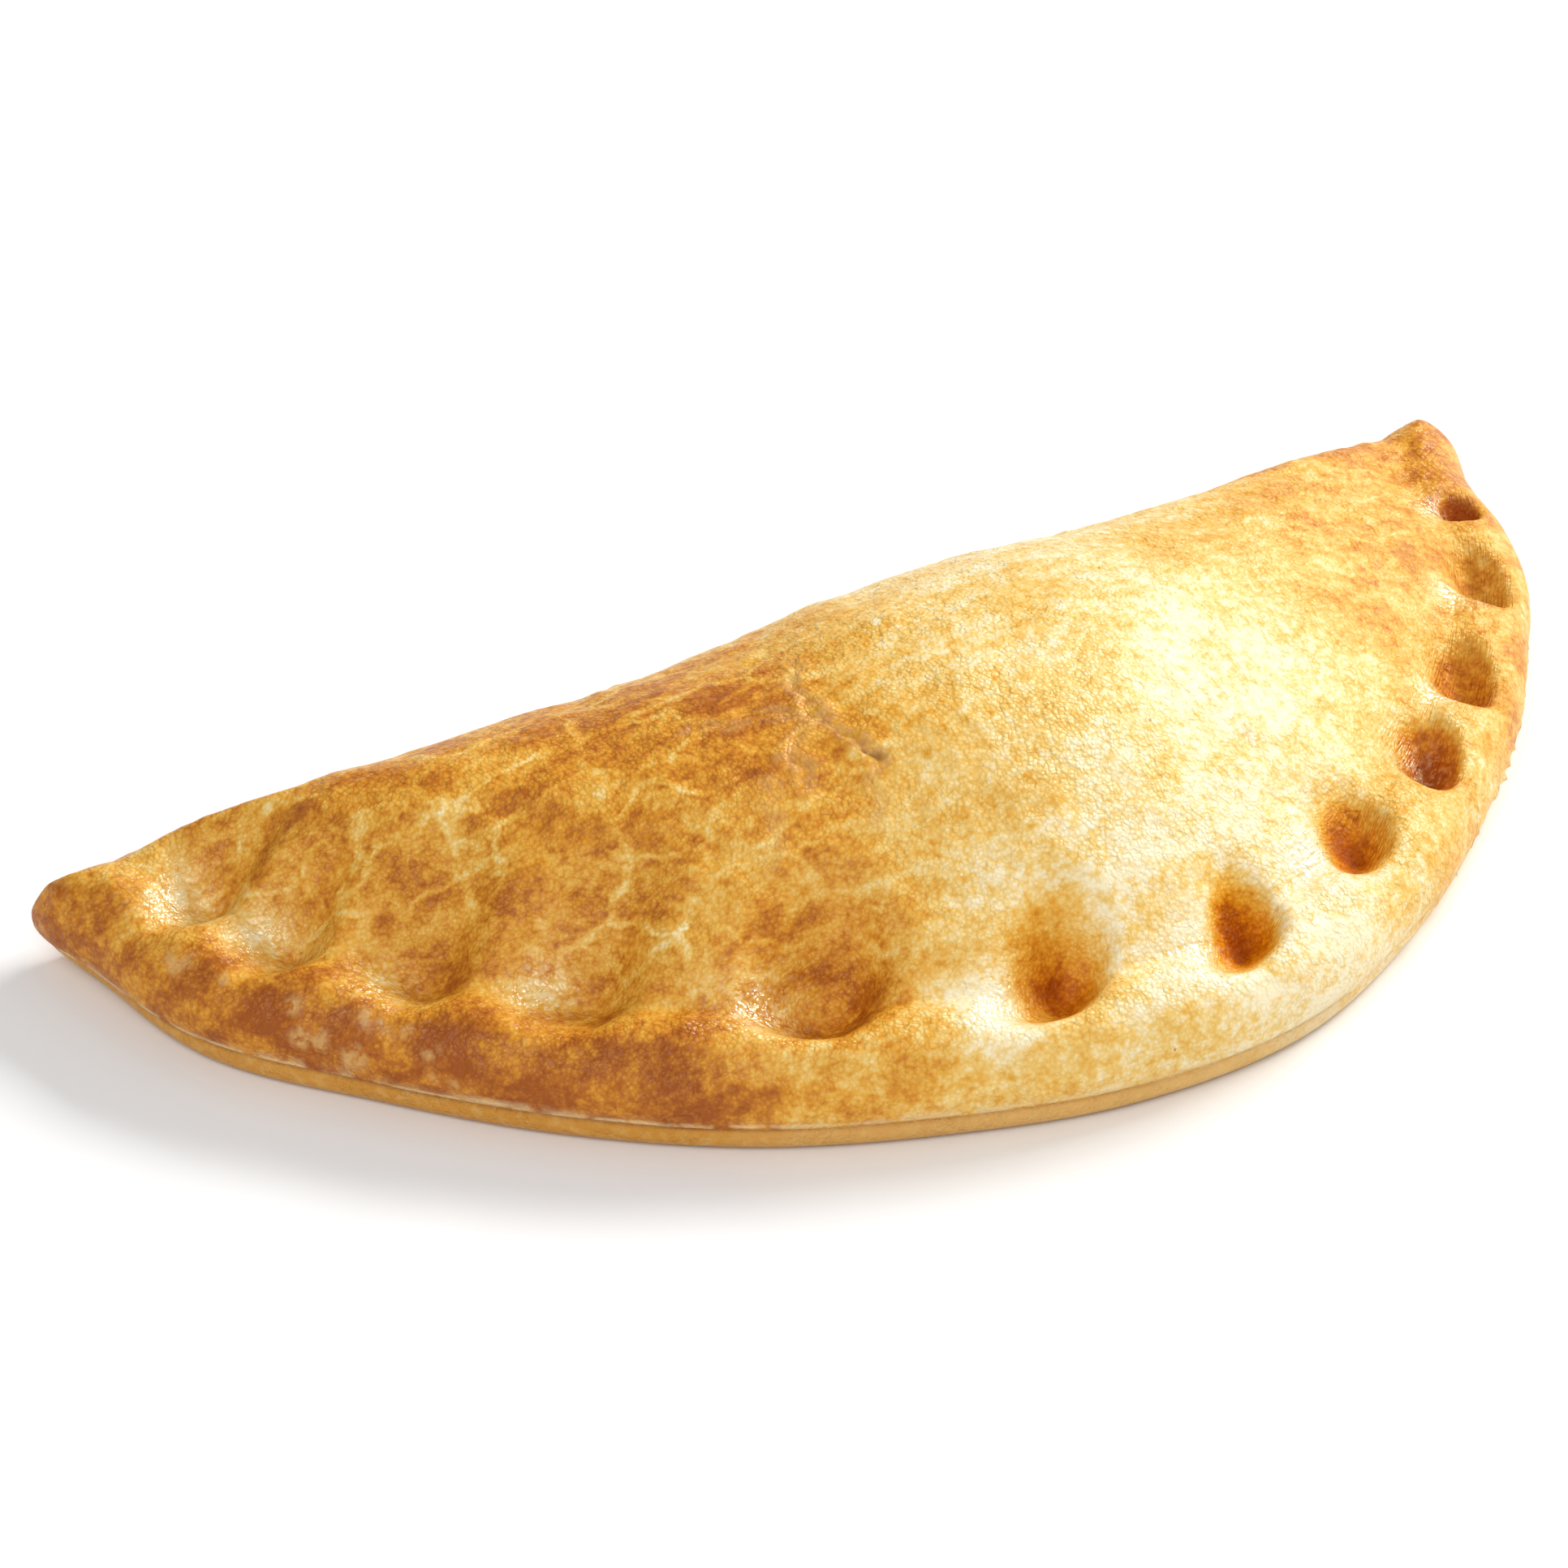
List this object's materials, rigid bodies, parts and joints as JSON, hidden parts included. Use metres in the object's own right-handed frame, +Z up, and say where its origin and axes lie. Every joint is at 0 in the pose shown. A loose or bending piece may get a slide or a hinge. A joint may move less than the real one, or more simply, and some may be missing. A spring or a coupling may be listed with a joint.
{
  "type": "filled half-moon turnover",
  "caption": "Baked half-moon turnover of folded dough with a domed middle, a thumb-pressed curved rim and pointed tips, resting on its flat base.",
  "frame": {"origin": "on the flat base, under the middle of the plan", "axes": "+X along the fold from the brown tip to the pale tip, +Y from the pressed edge towards the fold, +Z up"},
  "size_m": [0.1424, 0.067, 0.0246],
  "materials": {
    "crust": "baked dough with an egg-washed sheen, caramel brown at one end and pale golden cream at the other"
  },
  "bodies": {
    "root": {"empanada": "crust"}
  },
  "joints": []
}
